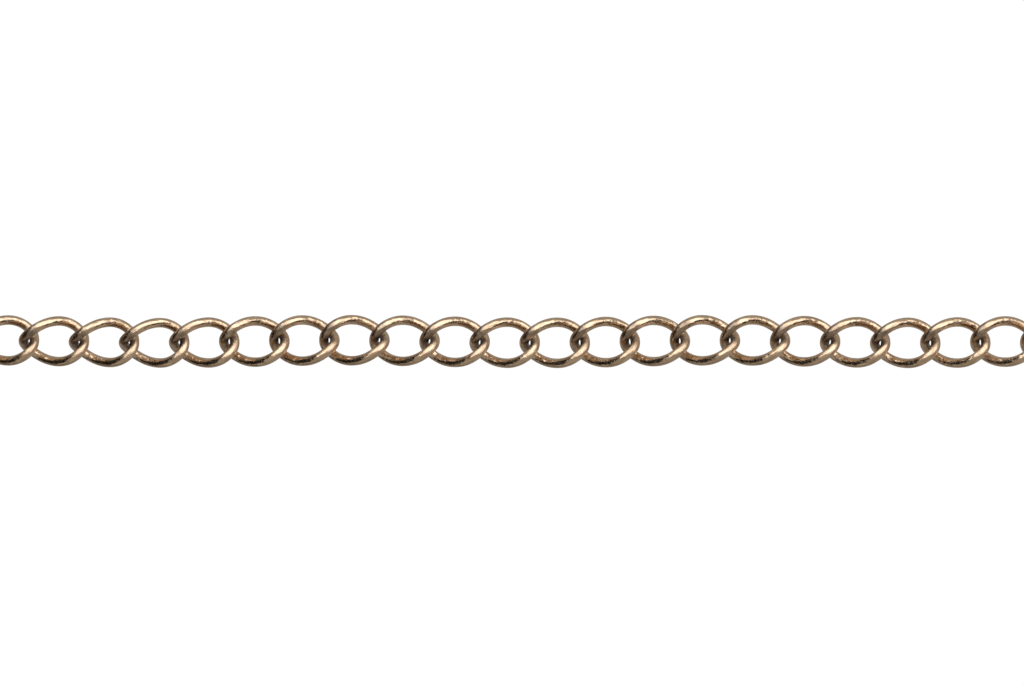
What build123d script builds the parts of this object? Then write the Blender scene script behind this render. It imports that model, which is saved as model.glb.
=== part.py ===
from build123d import *

import math
import os

# Pocket watch chain: an open curb chain of twisted oval links that leaves a straight middle run by
# two quarter turns, with a swivel clasp for the watch at one end and a T-bar for the waistcoat
# buttonhole at the other. Millimetres, +Z up, lying on z = 0. +X runs along the straight run towards
# the T-bar, and both ends come back towards -Y. The chain is laid out from its middle link, and then
# moved so that the origin is the middle of the base of the box round it.

# Curb link: round wire bent to a blunt oval, then twisted about its length so it lies flat in a chain.
WIRE = 1.25
HALF_LENGTH = 3.94
HALF_WIDTH = 2.66
BLUNTNESS = 2.28
TWIST = 98.0
PITCH = 6.46
ARC_PAIRS = 12

# How the chain lies.
TURN = 18.0
TURN_LINKS = 5
LEG_LINKS = 5
# The straight run weaves a little: its links drift to either side in a slow wave and rock with it, and
# the first few have rocked further than the rest.
RUN_LINKS = 21
WEAVE_LINKS = 7.5
WEAVE_STARTS_AT = 5
WEAVE_DRIFT = 0.17
WEAVE_ROLL = -8.0
FIRST_ROLL = 20.0
FIRST_ROLL_LINKS = 6
TURN_ROLLS = (0, 4, 0, -3, 0)
LEG_ROLLS = (3, -4, 6, -2, 0)

# Jump rings: bent wire with a fine slit where its ends meet.
RING_RADIUS = 2.2
CLASP_RING_WIRE = 1.2
BAR_RING_WIRE = 1.1
RING_SLIT = 2.0
HOOKED_IN = 1.5
CLASP_RING_ROLL = 28.0
BAR_RING_ROLL = 20.0

# Swivel clasp, measured along its own axis from the mouth of its barrel.
CLASP_HEIGHT = 2.45
BARREL_D = 4.6
BARREL_LENGTH = 5.0
BARREL_ROUNDING = 0.4
EYE_WIRE = 1.2
EYE_RADIUS = 1.7
EYE_SETBACK = 2.9
EYE_ROLL = -60.0
STEM_D = 1.8
STEM_HEAD_D = 3.0
STEM_HEAD_LENGTH = 1.1
STEM_HEAD_CHAMFER = 0.35
BEAD_LENGTH = 0.7
BEAD_ROUNDING = 0.25
SWIVEL_CLEARANCE = 0.1
WINDOW_START = 1.4
WINDOW_LENGTH = 2.6
WINDOW_WIDTH = 3.3
HOOK_D = 2.2
HOOK_PATH = (
    (4.4, -0.6), (7.4, -2.3), (11.2, -4.3), (15.6, -4.9), (19.6, -3.4),
    (21.1, 0), (19.6, 3.6), (16.4, 4.9), (15.2, 4.9),
)
HOOK_STARTS_TOWARDS = (1, -0.4, 0)
HOOK_ENDS_TOWARDS = (-1, 0.1, 0)
PIVOT = (7.0, 2.3)
CHEEK_D = 3.4
CHEEK_HALF_HEIGHT = 2.1
SHOULDER_START = 4.0
SHOULDER_ROUNDING = 0.8
SLOT_HALF_HEIGHT = 1.1
SLOT_START = 5.2

# Gate of the clasp.
GATE_REACH = 9.2
GATE_THICKNESS = 1.4
GATE_HALF_HEIGHT = 0.8
GATE_SET = 3.7
KNUCKLE_D = 2.6
KNUCKLE_BOTTOM = -1.03
KNUCKLE_TOP = 0.15
COIL_ROOM = 0.3
TAB_AT = 3.6
TAB_D = 2.6
RIVET_D = 1.0
RIVET_HEAD_D = 1.8
RIVET_HEAD_HEIGHT = 0.3
RIVET_ROUNDING = 0.2
KNUCKLE_BORE = 1.12
SPRING_WIRE = 0.24
SPRING_RADIUS = 0.85
SPRING_PITCH = 0.26
SPRING_TURNS = 2
SPRING_START = 0.33
SPRING_LONG_LEG = 4.2
SPRING_SHORT_LEG = 1.3

# T-bar.
BAR_D = 2.4
BAR_LENGTH = 26.0
BAR_HEIGHT = 2.0
SPIGOT_D = 1.4
SPIGOT_LENGTH = 1.8
BALL_D = 4.0
COLLAR_D = 3.9
COLLAR_LENGTH = 3.6
COLLAR_BORE = 2.6
FLANGE_D = 3.2
FLANGE_LENGTH = 0.7
FLANGE_ROUNDING = 0.2
FLANGE_CLEARANCE = 0.1
BALL_SEAT = 0.3
COLLAR_ROUNDING = 0.5
BAR_EYE_WIRE = 1.0
BAR_EYE_RADIUS = 1.5
BAR_EYE_OFFSET = 3.1


def signed_power(value, power):
    return math.copysign(abs(value) ** power, value)


def wire_point(angle):
    """Point on the middle of the link's wire; the angle runs once round the oval."""
    x = HALF_LENGTH * signed_power(math.cos(angle), 2 / BLUNTNESS)
    across = HALF_WIDTH * signed_power(math.sin(angle), 2 / BLUNTNESS)
    twist = -math.radians(TWIST / 2) * x / HALF_LENGTH
    return Vector(x, across * math.cos(twist), across * math.sin(twist))


def wire_direction(angle):
    step = 1e-4
    return (wire_point(angle + step) - wire_point(angle - step)).normalized()


def meeting_point(start, start_direction, end, end_direction):
    """Where two arcs that leave start and reach end in the given directions meet smoothly."""
    span = end - start
    bend = 2 * (1 - start_direction.dot(end_direction))
    along = span.dot(start_direction + end_direction)
    reach = (math.sqrt(along ** 2 + bend * span.dot(span)) - along) / bend
    return (start + start_direction * reach + end - end_direction * reach) * 0.5


def link_arcs():
    """The link's centre line as smooth arcs, two for each step round the oval."""
    arcs = []
    step = 2 * math.pi / ARC_PAIRS
    for pair in range(ARC_PAIRS):
        first = step * (pair + 0.5)
        last = first + step
        start, end = wire_point(first), wire_point(last)
        leaving, reaching = wire_direction(first), wire_direction(last)
        middle = meeting_point(start, leaving, end, reaching)
        arcs.append(Edge.make_tangent_arc(start, leaving, middle))
        arcs.append(Edge.make_tangent_arc(middle, arcs[-1] % 1, end))
    return arcs


def rod_along(path, diameter):
    return sweep(Plane(origin=path @ 0, z_dir=path % 0) * Circle(diameter / 2), path=path)


def curb_link():
    pieces = [rod_along(arc, WIRE) for arc in link_arcs()]
    return pieces[0].fuse(*pieces[1:]).solids()[0]


def rest_height(roll):
    """Height of a link's middle when its wire just touches the table."""
    turn = math.radians(roll)
    lowest = 0.0
    for step in range(720):
        point = wire_point(math.radians(step / 2))
        lowest = min(lowest, point.Y * math.sin(turn) + point.Z * math.cos(turn))
    return WIRE / 2 - lowest


def run_weave():
    """Roll (degrees) and sideways drift (mm) of each link of the straight run."""
    rolls, drifts = [], []
    for link in range(RUN_LINKS):
        weave = math.sin(2 * math.pi * (link - WEAVE_STARTS_AT) / WEAVE_LINKS)
        rocked = max(0.0, 1 - link / FIRST_ROLL_LINKS)
        rolls.append(FIRST_ROLL * rocked + WEAVE_ROLL * weave)
        drifts.append(WEAVE_DRIFT * weave)
    return tuple(rolls), tuple(drifts)


def link_lay():
    """For each link from clasp to T-bar: x, y, heading and roll. The middle of the run is at x = 0."""
    run_rolls, run_drifts = run_weave()
    headings = [90.0] * LEG_LINKS
    headings += [90.0 - TURN * (turn + 0.5) for turn in range(TURN_LINKS)]
    headings += [0.0] * RUN_LINKS
    headings += [-TURN * (turn + 0.5) for turn in range(TURN_LINKS)]
    headings += [-90.0] * LEG_LINKS
    rolls = LEG_ROLLS + TURN_ROLLS + run_rolls + TURN_ROLLS + LEG_ROLLS
    plain = LEG_LINKS + TURN_LINKS
    drifts = (0.0,) * plain + run_drifts + (0.0,) * plain
    x, y = [0.0], [0.0]
    for before, after in zip(headings, headings[1:]):
        for place, turn in ((x, math.cos), (y, math.sin)):
            half_steps = turn(math.radians(before)) + turn(math.radians(after))
            place.append(place[-1] + PITCH / 2 * half_steps)
    middle = plain + RUN_LINKS // 2
    lay = []
    for index, (heading, roll, drift) in enumerate(zip(headings, rolls, drifts)):
        lay.append((x[index] - x[middle], y[index] - y[middle] + drift, heading, roll))
    return lay


def link_heights(lay):
    """A link lies on the table unless its neighbours hold it higher."""
    resting = [rest_height(place[3]) for place in lay]
    heights = list(resting)
    for index in range(1, len(lay) - 1):
        held = (resting[index - 1] + resting[index + 1]) / 2
        heights[index] = max(resting[index], held)
    return heights


def laid(shape, x, y, height, heading, roll=0.0):
    return Pos(x, y, height) * Rot(0, 0, heading) * Rot(roll, 0, 0) * shape


def ahead(place, distance):
    """The point a distance ahead of a link's middle, along its heading."""
    x, y, heading, _ = place
    turn = math.radians(heading)
    return x + distance * math.cos(turn), y + distance * math.sin(turn)


def slit_ring(radius, wire):
    """Ring in the XY plane whose slit is on its +Y side."""
    section = Pos(radius, 0, 0) * Rot(90, 0, 0) * Circle(wire / 2)
    ring = revolve(section, Axis.Z, 360 - RING_SLIT)
    return Rot(0, 0, 90 + RING_SLIT / 2) * ring


def swivel_eye():
    ring = Pos(-EYE_SETBACK, 0, 0) * Torus(EYE_RADIUS, EYE_WIRE / 2)
    shank_start = EYE_RADIUS - EYE_SETBACK
    shank_end = WINDOW_START + SWIVEL_CLEARANCE
    shank = Pos(shank_start, 0, 0) * Rot(0, 90, 0) * Cylinder(
        STEM_D / 2, shank_end - shank_start, align=(Align.CENTER, Align.CENTER, Align.MIN))
    bead_middle = -SWIVEL_CLEARANCE - BEAD_LENGTH / 2
    bead = Pos(bead_middle, 0, 0) * Rot(0, 90, 0) * Cylinder(STEM_HEAD_D / 2, BEAD_LENGTH)
    bead = fillet(bead.edges(), BEAD_ROUNDING)
    head = Pos(shank_end + STEM_HEAD_LENGTH / 2, 0, 0) * Rot(0, 90, 0) * Cylinder(
        STEM_HEAD_D / 2, STEM_HEAD_LENGTH)
    head = chamfer(head.edges().sort_by(Axis.X)[-1], STEM_HEAD_CHAMFER)
    return ring + shank + bead + head


def clasp_hook():
    barrel = Pos(BARREL_LENGTH / 2, 0, 0) * Rot(0, 90, 0) * Cylinder(BARREL_D / 2, BARREL_LENGTH)
    barrel = fillet(barrel.edges(), BARREL_ROUNDING)
    points = [Vector(x, y, 0) for x, y in HOOK_PATH]
    path = Edge.make_spline(points, tangents=[HOOK_STARTS_TOWARDS, HOOK_ENDS_TOWARDS])
    bow = rod_along(path, HOOK_D)
    root = Pos(*HOOK_PATH[0]) * Sphere(HOOK_D / 2)
    nose = Pos(*HOOK_PATH[-1]) * Sphere(HOOK_D / 2)
    shoulder_length = PIVOT[0] - SHOULDER_START
    shoulder = Pos(SHOULDER_START + shoulder_length / 2, PIVOT[1] - CHEEK_D / 4, 0) * Box(
        shoulder_length, CHEEK_D * 1.5, 2 * CHEEK_HALF_HEIGHT)
    shoulder += Pos(*PIVOT) * Cylinder(CHEEK_D / 2, 2 * CHEEK_HALF_HEIGHT)
    shoulder = fillet(shoulder.edges().filter_by(Axis.Z).sort_by(Axis.X)[:2], SHOULDER_ROUNDING)
    body = barrel + shoulder + bow + root + nose
    slot_length = PIVOT[0] + CHEEK_D - SLOT_START
    slot = Box(slot_length, 2 * CHEEK_D, 2 * SLOT_HALF_HEIGHT)
    body -= Pos(SLOT_START + slot_length / 2, PIVOT[1], 0) * slot
    body -= Pos(WINDOW_START + WINDOW_LENGTH / 2, 0, 0) * Box(WINDOW_LENGTH, WINDOW_WIDTH, 2 * BARREL_D)
    body -= Rot(0, 90, 0) * Cylinder(STEM_D / 2 + SWIVEL_CLEARANCE, 2 * WINDOW_START + 1)
    body -= Pos(*PIVOT) * Cylinder(RIVET_D / 2, 3 * CHEEK_HALF_HEIGHT)
    return body


def clasp_gate():
    """The lever with its pivot at the origin and its tip along +X."""
    knuckle_height = KNUCKLE_TOP - KNUCKLE_BOTTOM
    knuckle = Pos(0, 0, KNUCKLE_BOTTOM + knuckle_height / 2) * Cylinder(KNUCKLE_D / 2, knuckle_height)
    bar = Pos(GATE_REACH / 2, 0, 0) * Box(GATE_REACH, GATE_THICKNESS, 2 * GATE_HALF_HEIGHT)
    tip = Pos(GATE_REACH, 0, 0) * Cylinder(GATE_THICKNESS / 2, 2 * GATE_HALF_HEIGHT)
    relief = Cylinder(KNUCKLE_D / 2 + COIL_ROOM, 2 * GATE_HALF_HEIGHT)
    relief = Pos(0, 0, KNUCKLE_TOP + GATE_HALF_HEIGHT) * relief
    tab = Pos(TAB_AT, GATE_THICKNESS / 2, 0) * Cylinder(TAB_D / 2, 2 * GATE_HALF_HEIGHT)
    lever = bar + tip + tab - relief
    lever += knuckle
    return lever - Cylinder(KNUCKLE_BORE / 2, 4 * GATE_HALF_HEIGHT)


def gate_rivet():
    shank = Cylinder(RIVET_D / 2, 2 * CHEEK_HALF_HEIGHT)
    head_middle = CHEEK_HALF_HEIGHT + RIVET_HEAD_HEIGHT / 2
    for side in (-1, 1):
        head = Pos(0, 0, side * head_middle) * Cylinder(RIVET_HEAD_D / 2, RIVET_HEAD_HEIGHT)
        outer = head.edges().sort_by(Axis.Z)[-1 if side > 0 else 0]
        shank += fillet(outer, RIVET_ROUNDING)
    return shank


def gate_spring():
    """Coil round the rivet, a long leg along the gate and a short one behind the pivot."""
    helix = Helix(SPRING_PITCH, SPRING_PITCH * SPRING_TURNS, SPRING_RADIUS, lefthand=True)
    coil = Pos(0, 0, SPRING_START) * Rot(0, 0, -90) * helix
    spring = rod_along(coil.edge(), SPRING_WIRE)
    for place, direction, length in (
        (coil @ 0, -(coil % 0), SPRING_LONG_LEG),
        (coil @ 1, coil % 1, SPRING_SHORT_LEG),
    ):
        leg = Line(place, place + direction * length)
        spring += rod_along(leg.edge(), SPRING_WIRE)
    return spring


def t_bar():
    bar = Cylinder(BAR_D / 2, BAR_LENGTH)
    for side in (-1, 1):
        spigot_middle = side * (BAR_LENGTH + SPIGOT_LENGTH) / 2
        bar += Pos(0, 0, spigot_middle) * Cylinder(SPIGOT_D / 2, SPIGOT_LENGTH)
        flange_middle = side * (COLLAR_LENGTH / 2 + FLANGE_CLEARANCE + FLANGE_LENGTH / 2)
        flange = Pos(0, 0, flange_middle) * Cylinder(FLANGE_D / 2, FLANGE_LENGTH)
        bar += fillet(flange.edges(), FLANGE_ROUNDING)
    return Rot(0, 90, 0) * bar


def bar_ball(side):
    middle = BAR_LENGTH / 2 + BALL_D / 2 - BALL_SEAT
    ball = Pos(middle, 0, 0) * Sphere(BALL_D / 2)
    ball -= Rot(0, 90, 0) * Cylinder(BAR_D, BAR_LENGTH)
    ball -= Rot(0, 90, 0) * Cylinder(SPIGOT_D / 2, BAR_LENGTH + 2 * SPIGOT_LENGTH)
    return Rot(0, 0, 0 if side > 0 else 180) * ball


def bar_eye():
    """Collar round the bar with an eye standing off it towards +Y."""
    collar = Rot(0, 90, 0) * Cylinder(COLLAR_D / 2, COLLAR_LENGTH)
    collar = fillet(collar.edges(), COLLAR_ROUNDING)
    eye = Pos(0, BAR_EYE_OFFSET, 0) * Rot(0, 90, 0) * Torus(BAR_EYE_RADIUS, BAR_EYE_WIRE / 2)
    return collar + eye - Rot(0, 90, 0) * Cylinder(COLLAR_BORE / 2, 2 * COLLAR_LENGTH)


def chain_nodes(lay):
    link = curb_link()
    nodes = {}
    for number, (place, height) in enumerate(zip(lay, link_heights(lay)), start=1):
        x, y, heading, roll = place
        nodes[f"curb_link_{number:02d}"] = laid(link, x, y, height, heading, roll)
    return nodes


def clasp_nodes(first):
    """The clasp hangs from the first link, whose heading points away from the clasp."""
    heading = first[2] + 180
    ring_at = HALF_LENGTH - HOOKED_IN + RING_RADIUS
    eye_at = ring_at + RING_RADIUS - HOOKED_IN + EYE_RADIUS
    ring_x, ring_y = ahead(first, -ring_at)
    clasp_x, clasp_y = ahead(first, -eye_at - EYE_SETBACK)
    ring_height = (rest_height(first[3]) + CLASP_HEIGHT) / 2
    gate_rise = GATE_SET - GATE_THICKNESS / 2 - PIVOT[1]
    pivot = Pos(*PIVOT) * Rot(0, 0, math.degrees(math.asin(gate_rise / GATE_REACH)))
    in_clasp = {
        "clasp_hook": clasp_hook(),
        "clasp_gate": pivot * clasp_gate(),
        "gate_rivet": Pos(*PIVOT) * gate_rivet(),
        "gate_spring": pivot * gate_spring(),
    }
    nodes = {"clasp_jump_ring": laid(
        slit_ring(RING_RADIUS, CLASP_RING_WIRE), ring_x, ring_y, ring_height, heading, CLASP_RING_ROLL)}
    nodes["swivel_eye"] = laid(swivel_eye(), clasp_x, clasp_y, CLASP_HEIGHT, heading, EYE_ROLL)
    for name, shape in in_clasp.items():
        nodes[name] = laid(shape, clasp_x, clasp_y, CLASP_HEIGHT, heading)
    return nodes


def bar_nodes(last):
    heading = last[2]
    ring_at = HALF_LENGTH - HOOKED_IN + RING_RADIUS
    bar_at = ring_at + RING_RADIUS - HOOKED_IN + BAR_EYE_RADIUS + BAR_EYE_OFFSET
    ring_x, ring_y = ahead(last, ring_at)
    bar_x, bar_y = ahead(last, bar_at)
    ring_height = (rest_height(last[3]) + BAR_HEIGHT) / 2
    nodes = {"bar_jump_ring": laid(
        slit_ring(RING_RADIUS, BAR_RING_WIRE), ring_x, ring_y, ring_height, heading, BAR_RING_ROLL)}
    for name, shape in {
        "t_bar": t_bar(),
        "t_bar_eye_collar": bar_eye(),
        "t_bar_ball_near": bar_ball(1),
        "t_bar_ball_far": bar_ball(-1),
    }.items():
        nodes[name] = laid(shape, bar_x, bar_y, BAR_HEIGHT, heading + 90)
    return nodes


def base_centre(shapes):
    """The middle of the base of the box round all the shapes."""
    boxes = [shape.bounding_box() for shape in shapes]
    low = [min(tuple(box.min)[axis] for box in boxes) for axis in range(3)]
    high = [max(tuple(box.max)[axis] for box in boxes) for axis in range(3)]
    return (low[0] + high[0]) / 2, (low[1] + high[1]) / 2, low[2]


def main():
    os.makedirs("parts", exist_ok=True)
    lay = link_lay()
    nodes = {**clasp_nodes(lay[0]), **chain_nodes(lay), **bar_nodes(lay[-1])}
    x, y, z = base_centre(nodes.values())
    for name, shape in nodes.items():
        export_step(Pos(-x, -y, -z) * shape, f"parts/{name}.step")


if __name__ == "__main__":
    main()
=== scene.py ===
import math

import bpy
import numpy as np
from mathutils import Matrix, Vector

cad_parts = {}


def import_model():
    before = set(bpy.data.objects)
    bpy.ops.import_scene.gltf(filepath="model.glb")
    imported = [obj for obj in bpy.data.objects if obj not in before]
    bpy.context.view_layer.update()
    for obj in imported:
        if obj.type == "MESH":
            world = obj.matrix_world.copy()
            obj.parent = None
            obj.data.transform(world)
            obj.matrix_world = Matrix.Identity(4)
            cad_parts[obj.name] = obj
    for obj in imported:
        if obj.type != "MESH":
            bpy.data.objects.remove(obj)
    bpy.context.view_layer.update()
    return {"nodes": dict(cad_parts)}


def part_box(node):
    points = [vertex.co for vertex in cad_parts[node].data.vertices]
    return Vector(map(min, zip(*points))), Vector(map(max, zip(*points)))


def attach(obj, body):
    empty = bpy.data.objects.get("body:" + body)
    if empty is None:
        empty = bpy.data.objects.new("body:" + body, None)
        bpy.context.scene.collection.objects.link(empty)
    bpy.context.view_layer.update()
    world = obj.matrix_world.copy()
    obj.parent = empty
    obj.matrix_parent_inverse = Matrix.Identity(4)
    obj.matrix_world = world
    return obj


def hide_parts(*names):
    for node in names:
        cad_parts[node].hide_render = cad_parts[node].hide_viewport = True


# Pocket watch chain in aged brass over a plain white table. The links are fine tubes that stand for the
# CAD links, made by the same rule and laid in the same way. Lengths are in millimetres until a mesh is
# made, and metres after that.

MM = 0.001

# Curb link, as in the CAD model.
WIRE = 1.25
HALF_LENGTH = 3.94
HALF_WIDTH = 2.66
BLUNTNESS = 2.28
TWIST = 98.0
PITCH = 6.46
POINTS_ALONG = 288
POINTS_AROUND = 32
POINTS_TO_MEASURE_BY = 4001

# Shallow hollows in the wire. Each wave has its number along the wire, its number round it, and its
# share of the depth.
DENT_DEPTH = 0.008
DENT_WAVES = ((3, 1, 0.4), (7, 2, 0.3), (16, 3, 0.3))

# How the chain lies, as in the CAD model.
TURN = 18.0
TURN_LINKS = 5
LEG_LINKS = 5
# The straight run weaves a little: its links drift to either side in a slow wave and rock with it, and
# the first few have rocked further than the rest.
RUN_LINKS = 21
WEAVE_LINKS = 7.5
WEAVE_STARTS_AT = 5
WEAVE_DRIFT = 0.17
WEAVE_ROLL = -8.0
FIRST_ROLL = 20.0
FIRST_ROLL_LINKS = 6
TURN_ROLLS = (0, 4, 0, -3, 0)
LEG_ROLLS = (3, -4, 6, -2, 0)

# View: straight down on the straight run, as wide as twenty links and a half.
VIEW_WIDTH = 132.12
VIEW_OFFSET = (0.95, 0.09)
CAMERA_HEIGHT = 1500.0
SENSOR = 36.0

# Where two wires meet, the brass turns brown with tarnish and painted contact shade: full at the near
# distance, none at the far one.
TARNISH_AND_SHADE_NEAR = 0.15
TARNISH_AND_SHADE_FAR = 1.2
FAR_FROM_WIRES = 10.0
NEIGHBOUR_STEP = 3
BLOCK_OF_VERTICES = 1024

# One end of a link is browner on one side, and the other end is worn matte. Both ranges are shares
# of the half length, and the side's is a share of the half width.
DULL_END_BROWNING = 0.7
DULL_END = (0.3, 0.75)
DULL_SIDE = (0.0, 0.3)
WORN_END = (0.5, 0.95)
MATTE_OF_WEAR = 0.2

# Each link's streaks start somewhere else in the noise.
STREAK_START = 500


def smooth_step(value, low, high):
    part = np.clip((value - low) / (high - low), 0.0, 1.0)
    return part * part * (3 - 2 * part)


# ---------------------------------------------------------------- links

def signed_power(value, power):
    return np.sign(value) * np.abs(value) ** power


def wire_points(count):
    """Points on the middle of the link's wire, evenly spaced along it, and the wire's length."""
    angle = np.linspace(0, 2 * math.pi, POINTS_TO_MEASURE_BY)
    x = HALF_LENGTH * signed_power(np.cos(angle), 2 / BLUNTNESS)
    across = HALF_WIDTH * signed_power(np.sin(angle), 2 / BLUNTNESS)
    twist = -math.radians(TWIST / 2) * x / HALF_LENGTH
    line = np.column_stack((x, across * np.cos(twist), across * np.sin(twist)))
    steps = np.linalg.norm(np.diff(line, axis=0), axis=1)
    distance = np.concatenate(([0], np.cumsum(steps)))
    wanted = np.linspace(0, distance[-1], count, endpoint=False)
    points = np.column_stack([np.interp(wanted, distance, line[:, axis]) for axis in range(3)])
    return points, distance[-1]


def rest_height(roll):
    """Height of a link's middle when its wire just touches the table."""
    points, _ = wire_points(POINTS_ALONG)
    turn = math.radians(roll)
    return WIRE / 2 - np.min(points[:, 1] * math.sin(turn) + points[:, 2] * math.cos(turn))


def run_weave():
    """Roll (degrees) and sideways drift (mm) of each link of the straight run."""
    rolls, drifts = [], []
    for link in range(RUN_LINKS):
        weave = math.sin(2 * math.pi * (link - WEAVE_STARTS_AT) / WEAVE_LINKS)
        rocked = max(0.0, 1 - link / FIRST_ROLL_LINKS)
        rolls.append(FIRST_ROLL * rocked + WEAVE_ROLL * weave)
        drifts.append(WEAVE_DRIFT * weave)
    return tuple(rolls), tuple(drifts)


def link_lay():
    """For each link from clasp to T-bar: x, y, heading and roll. The middle of the run is at x = 0."""
    run_rolls, run_drifts = run_weave()
    headings = [90.0] * LEG_LINKS
    headings += [90.0 - TURN * (turn + 0.5) for turn in range(TURN_LINKS)]
    headings += [0.0] * RUN_LINKS
    headings += [-TURN * (turn + 0.5) for turn in range(TURN_LINKS)]
    headings += [-90.0] * LEG_LINKS
    rolls = LEG_ROLLS + TURN_ROLLS + run_rolls + TURN_ROLLS + LEG_ROLLS
    plain = LEG_LINKS + TURN_LINKS
    drifts = (0.0,) * plain + run_drifts + (0.0,) * plain
    x, y = [0.0], [0.0]
    for before, after in zip(headings, headings[1:]):
        for place, turn in ((x, math.cos), (y, math.sin)):
            half_steps = turn(math.radians(before)) + turn(math.radians(after))
            place.append(place[-1] + PITCH / 2 * half_steps)
    middle = plain + RUN_LINKS // 2
    lay = []
    for index, (heading, roll, drift) in enumerate(zip(headings, rolls, drifts)):
        lay.append((x[index] - x[middle], y[index] - y[middle] + drift, heading, roll))
    return lay


def link_heights(lay):
    """A link lies on the table unless its neighbours hold it higher."""
    resting = [rest_height(place[3]) for place in lay]
    heights = list(resting)
    for index in range(1, len(lay) - 1):
        held = (resting[index - 1] + resting[index + 1]) / 2
        heights[index] = max(resting[index], held)
    return heights


def link_places():
    """Each link's matrix in the row frame, in millimetres, in step with the CAD links."""
    lay = link_lay()
    places = []
    for (x, y, heading, roll), height in zip(lay, link_heights(lay)):
        turn = Matrix.Rotation(math.radians(heading), 4, "Z") @ Matrix.Rotation(math.radians(roll), 4, "X")
        places.append(np.array(Matrix.Translation((x, y, height)) @ turn))
    middle = len(lay) // 2
    points, _ = wire_points(POINTS_ALONG)
    laid = moved(points, places[middle])
    low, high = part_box(f"curb_link_{middle + 1:02d}")
    cad_middle = (np.array(low) + np.array(high)) / 2 / MM
    offset = cad_middle - (laid.min(axis=0) + laid.max(axis=0)) / 2
    for place in places:
        place[:3, 3] += offset
    return places


def moved(points, place):
    return points @ place[:3, :3].T + place[:3, 3]


def tube_normals(points):
    """Two directions across the wire at each point: as near to up as it can be, and sideways."""
    along = np.roll(points, -1, axis=0) - np.roll(points, 1, axis=0)
    along /= np.linalg.norm(along, axis=1)[:, None]
    up = np.array((0.0, 0.0, 1.0)) - along[:, 2:3] * along
    up /= np.linalg.norm(up, axis=1)[:, None]
    return up, np.cross(along, up)


def dents(random, distance, length, around):
    """Shallow hollows in the wire: a few slow waves along and round it, never outward."""
    depth = np.zeros((len(distance), len(around)))
    for waves_along, waves_around, share in DENT_WAVES:
        start = random.uniform(0, 2 * math.pi, 2)
        wave = np.sin(2 * math.pi * waves_along * distance / length + start[0])[:, None]
        depth += share * (0.5 + 0.5 * wave * np.cos(waves_around * around + start[1])[None, :])
    return DENT_DEPTH * depth


def nearest_wire(vertices, others):
    """Distance from each vertex to the nearest point of the neighbours' wires, at their surface."""
    nearest = np.full(len(vertices), FAR_FROM_WIRES)
    for other in others:
        line = other[::NEIGHBOUR_STEP]
        for first in range(0, len(vertices), BLOCK_OF_VERTICES):
            block = slice(first, first + BLOCK_OF_VERTICES)
            gaps = np.linalg.norm(vertices[block, None, :] - line[None, :, :], axis=2).min(axis=1)
            nearest[block] = np.minimum(nearest[block], gaps - WIRE / 2)
    return nearest


def tube_faces():
    faces = []
    for i in range(POINTS_ALONG):
        this_ring = i * POINTS_AROUND
        next_ring = (i + 1) % POINTS_ALONG * POINTS_AROUND
        for j in range(POINTS_AROUND):
            k = (j + 1) % POINTS_AROUND
            faces.append((this_ring + j, next_ring + j, next_ring + k, this_ring + k))
    return faces


def link_tarnish_and_contact_shade(points, vertices, others):
    # Painted contact shade as well as tarnish: the brass turns brown where a neighbour's wire comes close.
    near_wires = 1 - smooth_step(nearest_wire(vertices, others), TARNISH_AND_SHADE_NEAR, TARNISH_AND_SHADE_FAR)
    # One end of each link is made browner on one side, the same on every link.
    dull_end = smooth_step(-points[:, 0] / HALF_LENGTH, *DULL_END)
    dull_end *= smooth_step(points[:, 1] / HALF_WIDTH, *DULL_SIDE)
    return near_wires + DULL_END_BROWNING * np.repeat(dull_end, POINTS_AROUND)


def link_mesh(name, random, place, others):
    """One link's tube, with its tarnish and painted contact shade, its wear and each vertex's place along
    and round the wire.
    """
    points, length = wire_points(POINTS_ALONG)
    up, side = tube_normals(points)
    distance = np.linspace(0, length, POINTS_ALONG, endpoint=False)
    around = np.linspace(0, 2 * math.pi, POINTS_AROUND, endpoint=False)
    radius = WIRE / 2 - dents(random, distance, length, around)
    upward, sideways = np.cos(around), np.sin(around)
    across = up[:, None, :] * upward[None, :, None] + side[:, None, :] * sideways[None, :, None]
    local = points[:, None, :] + radius[:, :, None] * across
    vertices = moved(local.reshape(-1, 3), place)
    mesh = bpy.data.meshes.new(name)
    mesh.from_pydata((vertices * MM).tolist(), [], tube_faces())
    mesh.polygons.foreach_set("use_smooth", [True] * len(mesh.polygons))
    # This attribute holds the tarnish, the painted contact shade and the browner end.
    tarnish_and_contact_shade = link_tarnish_and_contact_shade(points, vertices, others)
    mesh.attributes.new("tarnish_and_contact_shade", "FLOAT", "POINT").data.foreach_set("value", tarnish_and_contact_shade)
    worn = np.repeat(smooth_step(points[:, 0] / HALF_LENGTH, *WORN_END), POINTS_AROUND)
    mesh.attributes.new("worn", "FLOAT", "POINT").data.foreach_set("value", worn)
    wire_place = np.empty((POINTS_ALONG, POINTS_AROUND, 3))
    wire_place[:, :, 0] = distance[:, None] + random.uniform(0, STREAK_START)
    wire_place[:, :, 1] = upward * WIRE / 2
    wire_place[:, :, 2] = sideways * WIRE / 2
    mesh.attributes.new("wire_place", "FLOAT_VECTOR", "POINT").data.foreach_set("vector", wire_place.ravel())
    mesh.update()
    return mesh


def build_links(material):
    places = link_places()
    points, _ = wire_points(POINTS_ALONG)
    wires = [moved(points, place) for place in places]
    for index, place in enumerate(places):
        number = f"{index + 1:02d}"
        others = wires[max(index - 1, 0):index] + wires[index + 1:index + 2]
        mesh = link_mesh(f"link_{number}_wire", np.random.default_rng(index), place, others)
        mesh.materials.append(material)
        link = bpy.data.objects.new(f"link_{number}_wire", mesh)
        bpy.context.collection.objects.link(link)
        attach(link, f"link_{number}")
        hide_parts(f"curb_link_{number}")
    return places


# ---------------------------------------------------------------- materials

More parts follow.
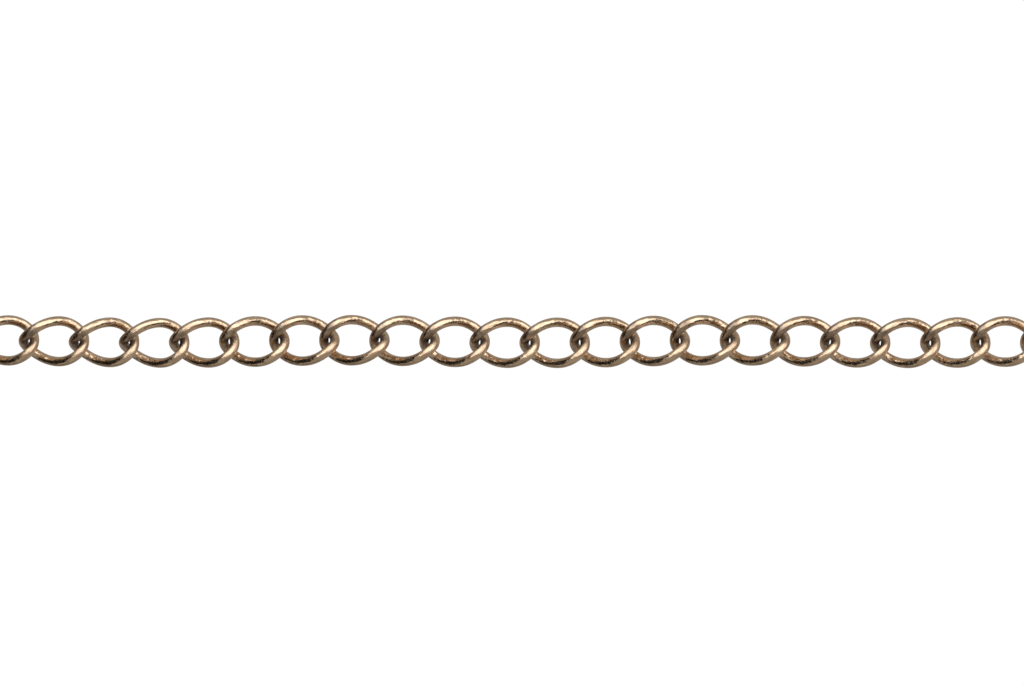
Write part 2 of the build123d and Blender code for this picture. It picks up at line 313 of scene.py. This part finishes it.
class Nodes:
    """Short names for building a material's node tree."""

    def __init__(self, name):
        self.material = bpy.data.materials.new(name)
        self.material.use_nodes = True
        self.tree = self.material.node_tree
        self.shader = self.tree.nodes["Principled BSDF"]

    def add(self, kind, inputs=None, **settings):
        node = self.tree.nodes.new(kind)
        for key, value in settings.items():
            setattr(node, key, value)
        for key, value in (inputs or {}).items():
            self.feed(node.inputs[key], value)
        return node

    def feed(self, socket, value):
        if isinstance(value, bpy.types.NodeSocket):
            self.tree.links.new(value, socket)
        else:
            socket.default_value = value

    def math(self, operation, first, second=0.0, clamp=False):
        inputs = {0: first, 1: second}
        return self.add("ShaderNodeMath", inputs, operation=operation, use_clamp=clamp).outputs[0]

    def noise(self, vector, scale, detail=2.0, roughness=0.5):
        inputs = {"Vector": vector, "Scale": scale, "Detail": detail, "Roughness": roughness}
        return self.add("ShaderNodeTexNoise", inputs).outputs["Fac"]

    def ramp(self, value, low, high, start=0.0, end=1.0):
        inputs = {"Value": value, "From Min": low, "From Max": high, "To Min": start, "To Max": end}
        return self.add("ShaderNodeMapRange", inputs, interpolation_type="SMOOTHSTEP").outputs[0]

    def mix(self, factor, first, second):
        node = self.add("ShaderNodeMix", data_type="RGBA")
        self.feed(node.inputs[0], factor)
        self.feed(node.inputs[6], first)
        self.feed(node.inputs[7], second)
        return node.outputs[2]

    def stretched(self, vector, scale):
        return self.add("ShaderNodeVectorMath", {0: vector, 1: scale}, operation="MULTIPLY").outputs[0]


BRASS = (0.54, 0.372, 0.232, 1)
PALE_BRASS = (0.72, 0.52, 0.335, 1)
# BROWN colours the tarnish, the pits and the painted shade in crevices and between links.
BROWN = (0.15, 0.107, 0.077, 1)


def aged_brass_and_shade(name, crevice):
    """Worn brass: soft streaks along the wire, fine pits, and brown tarnish with painted shade in the
    crevices.
    """
    n = Nodes(name)
    place = n.add("ShaderNodeTexCoord").outputs["Object"]
    if crevice == "wire":
        # The links' tarnish and painted contact shade, read from their attribute.
        tarnish_and_shade = n.add("ShaderNodeAttribute", attribute_name="tarnish_and_contact_shade").outputs["Fac"]
        worn = n.add("ShaderNodeAttribute", attribute_name="worn").outputs["Fac"]
        matte = n.math("MULTIPLY", worn, MATTE_OF_WEAR)
        wire = n.add("ShaderNodeAttribute", attribute_name="wire_place").outputs["Vector"]
        streaks = n.noise(n.stretched(wire, (0.7, 3.6, 3.6)), 1.0, 2.0, 0.55)
    else:
        # Painted shade as well as tarnish: the fittings turn brown in their crevices, found by ambient
        # occlusion.
        ambient_occlusion = n.add("ShaderNodeAmbientOcclusion", {"Distance": 1.2 * MM}, samples=8).outputs["AO"]
        tarnish_and_shade = n.ramp(ambient_occlusion, 0.75, 0.3)
        matte = 0.0
        streaks = n.noise(place, 1500.0, 4.0, 0.6)
    blotches = n.noise(place, 900.0, 3.0, 0.55)
    grain = n.noise(place, 7000.0, 4.0, 0.65)
    pits = n.ramp(n.noise(place, 4200.0, 2.0, 0.5), 0.36, 0.24)
    # The brown share carries the tarnish and the painted shade, with random blotches and the pits.
    uneven = n.math("ADD", tarnish_and_shade, n.math("MULTIPLY", n.math("SUBTRACT", blotches, 0.5), 0.9))
    brown_share = n.ramp(uneven, 0.3, 0.95, 0.0, 0.92)
    brown_share = n.math("ADD", brown_share, n.math("MULTIPLY", pits, 0.3), clamp=True)
    brass = n.mix(n.ramp(streaks, 0.35, 0.65), BRASS, PALE_BRASS)
    n.feed(n.shader.inputs["Base Color"], n.mix(brown_share, brass, BROWN))
    n.shader.inputs["Metallic"].default_value = 1.0
    rough = n.math("ADD", n.ramp(grain, 0.3, 0.7, 0.12, 0.26), n.math("MULTIPLY", brown_share, 0.14))
    rough = n.math("ADD", rough, matte)
    n.feed(n.shader.inputs["Roughness"], rough)
    waves = n.noise(place, 1300.0, 1.0, 0.5)
    relief = n.math("ADD", n.math("MULTIPLY", streaks, 2.0), n.math("MULTIPLY", grain, 0.03))
    relief = n.math("ADD", relief, n.math("MULTIPLY", waves, 2.0))
    relief = n.math("SUBTRACT", relief, n.math("MULTIPLY", pits, 0.1))
    bump = n.add("ShaderNodeBump", {"Strength": 1.0, "Distance": 0.03 * MM, "Height": relief})
    n.feed(n.shader.inputs["Normal"], bump.outputs[0])
    return n.material


def spring_steel():
    n = Nodes("spring_steel")
    place = n.add("ShaderNodeTexCoord").outputs["Object"]
    grey = n.mix(n.noise(place, 5000.0), (0.32, 0.32, 0.33, 1), (0.5, 0.5, 0.5, 1))
    n.feed(n.shader.inputs["Base Color"], grey)
    n.shader.inputs["Metallic"].default_value = 1.0
    n.feed(n.shader.inputs["Roughness"], n.ramp(n.noise(place, 9000.0), 0.3, 0.7, 0.2, 0.4))
    return n.material


# ---------------------------------------------------------------- studio

# The table is well below the chain, so that a hanging pose doesn't reach through it.
FLOOR_HEIGHT = -90.0
FLOOR_SIZE = 30.0
WHITE = 1.02
ROOM = 0.42
FLOOR_GLOWS = (0.14, 0.46)
FLOOR_FADE = (-0.45, 0.15)
FLOOR_LIT_TOWARDS = (0.87, 0.5, 0)
KEY_RADIANCE = 1.9
KEY_COLOR = (0.94, 1.0, 1.12)


def seen_or_mirrored(tree, seen, mirrored):
    """Brightness of a surround: one value to the camera, and a lower one in the metal."""
    path = tree.nodes.new("ShaderNodeLightPath")
    level = tree.nodes.new("ShaderNodeMapRange")
    tree.links.new(path.outputs["Is Camera Ray"], level.inputs["Value"])
    level.inputs["To Max"].default_value = seen
    if isinstance(mirrored, bpy.types.NodeSocket):
        tree.links.new(mirrored, level.inputs["To Min"])
    else:
        level.inputs["To Min"].default_value = mirrored
    return level.outputs[0]


def white_room():
    world = bpy.data.worlds.new("room")
    world.use_nodes = True
    tree = world.node_tree
    background = tree.nodes["Background"]
    background.inputs["Color"].default_value = (1, 1, 1, 1)
    tree.links.new(seen_or_mirrored(tree, WHITE, ROOM), background.inputs["Strength"])
    bpy.context.scene.world = world


def floor_glow(tree):
    """The table's brightness in the metal: it falls off towards the unlit left front."""
    place = tree.nodes.new("ShaderNodeTexCoord")
    along = tree.nodes.new("ShaderNodeVectorMath")
    along.operation = "DOT_PRODUCT"
    tree.links.new(place.outputs["Object"], along.inputs[0])
    along.inputs[1].default_value = FLOOR_LIT_TOWARDS
    level = tree.nodes.new("ShaderNodeMapRange")
    level.interpolation_type = "SMOOTHSTEP"
    tree.links.new(along.outputs["Value"], level.inputs["Value"])
    level.inputs["From Min"].default_value, level.inputs["From Max"].default_value = FLOOR_FADE
    level.inputs["To Min"].default_value, level.inputs["To Max"].default_value = FLOOR_GLOWS
    return level.outputs[0]


def floor():
    material = bpy.data.materials.new("white_table")
    material.use_nodes = True
    tree = material.node_tree
    tree.nodes.clear()
    glow = tree.nodes.new("ShaderNodeEmission")
    mirrored = floor_glow(tree)
    tree.links.new(seen_or_mirrored(tree, WHITE, mirrored), glow.inputs["Strength"])
    output = tree.nodes.new("ShaderNodeOutputMaterial")
    tree.links.new(glow.outputs[0], output.inputs["Surface"])
    bpy.ops.mesh.primitive_plane_add(size=FLOOR_SIZE, location=(0, 0, FLOOR_HEIGHT * MM))
    plane = bpy.context.object
    plane.name = "table_top"
    plane.data.materials.append(material)


def aim(obj, azimuth, elevation, distance, target):
    """Puts obj in a direction from the target (azimuth from +X towards +Y), facing the target."""
    a, e = math.radians(azimuth), math.radians(elevation)
    direction = Vector((math.cos(a) * math.cos(e), math.sin(a) * math.cos(e), math.sin(e)))
    obj.location = Vector(target) + direction * distance
    obj.rotation_euler = direction.to_track_quat("Z", "Y").to_euler()


def softbox(name, target, azimuth, elevation, distance, width, height):
    """A soft light of the key's radiance and colour, which the camera doesn't see."""
    light = bpy.data.lights.new(name, "AREA")
    light.shape = "RECTANGLE"
    light.size, light.size_y = width, height
    light.energy = KEY_RADIANCE * math.pi * width * height
    light.color = KEY_COLOR
    box = bpy.data.objects.new(name, light)
    bpy.context.collection.objects.link(box)
    aim(box, azimuth, elevation, distance, target)
    box.visible_camera = False


def dark_card(name, target, azimuth, elevation, distance, width, height):
    """A black card that darkens one side of what the metal mirrors; the camera doesn't see it."""
    bpy.ops.mesh.primitive_plane_add(size=1.0)
    card = bpy.context.object
    card.name = name
    card.scale = (width, height, 1)
    aim(card, azimuth, elevation, distance, target)
    material = bpy.data.materials.new(name)
    material.use_nodes = True
    shader = material.node_tree.nodes["Principled BSDF"]
    shader.inputs["Base Color"].default_value = (0.01, 0.01, 0.01, 1)
    shader.inputs["Roughness"].default_value = 1.0
    card.data.materials.append(material)
    card.visible_camera = False


def camera(target):
    data = bpy.data.cameras.new("camera")
    data.sensor_width = SENSOR
    data.lens = SENSOR * CAMERA_HEIGHT / VIEW_WIDTH
    data.clip_end = 50.0
    seat = bpy.data.objects.new("camera", data)
    bpy.context.collection.objects.link(seat)
    x, y, z = target
    seat.location = (x + VIEW_OFFSET[0] * MM, y + VIEW_OFFSET[1] * MM, z + CAMERA_HEIGHT * MM)
    bpy.context.scene.camera = seat


def main():
    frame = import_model()
    places = build_links(aged_brass_and_shade("aged_brass_and_shade_wire", "wire"))
    brass, steel = aged_brass_and_shade("aged_brass_and_shade_solid", "solid"), spring_steel()
    for name, node in frame["nodes"].items():
        if not name.startswith("curb_link"):
            node.data.materials.clear()
            node.data.materials.append(steel if name == "gate_spring" else brass)
    target = tuple(places[len(places) // 2][:3, 3] * MM)
    white_room()
    floor()
    softbox("key_softbox", target, azimuth=80, elevation=52, distance=1.6, width=4.0, height=2.0)
    dark_card("left_flag", target, azimuth=180, elevation=20, distance=1.3, width=2.3, height=1.2)
    dark_card("right_flag", target, azimuth=-14, elevation=28, distance=1.3, width=0.8, height=0.4)
    camera(target)
    bpy.context.scene.view_settings.view_transform = "Standard"


main()
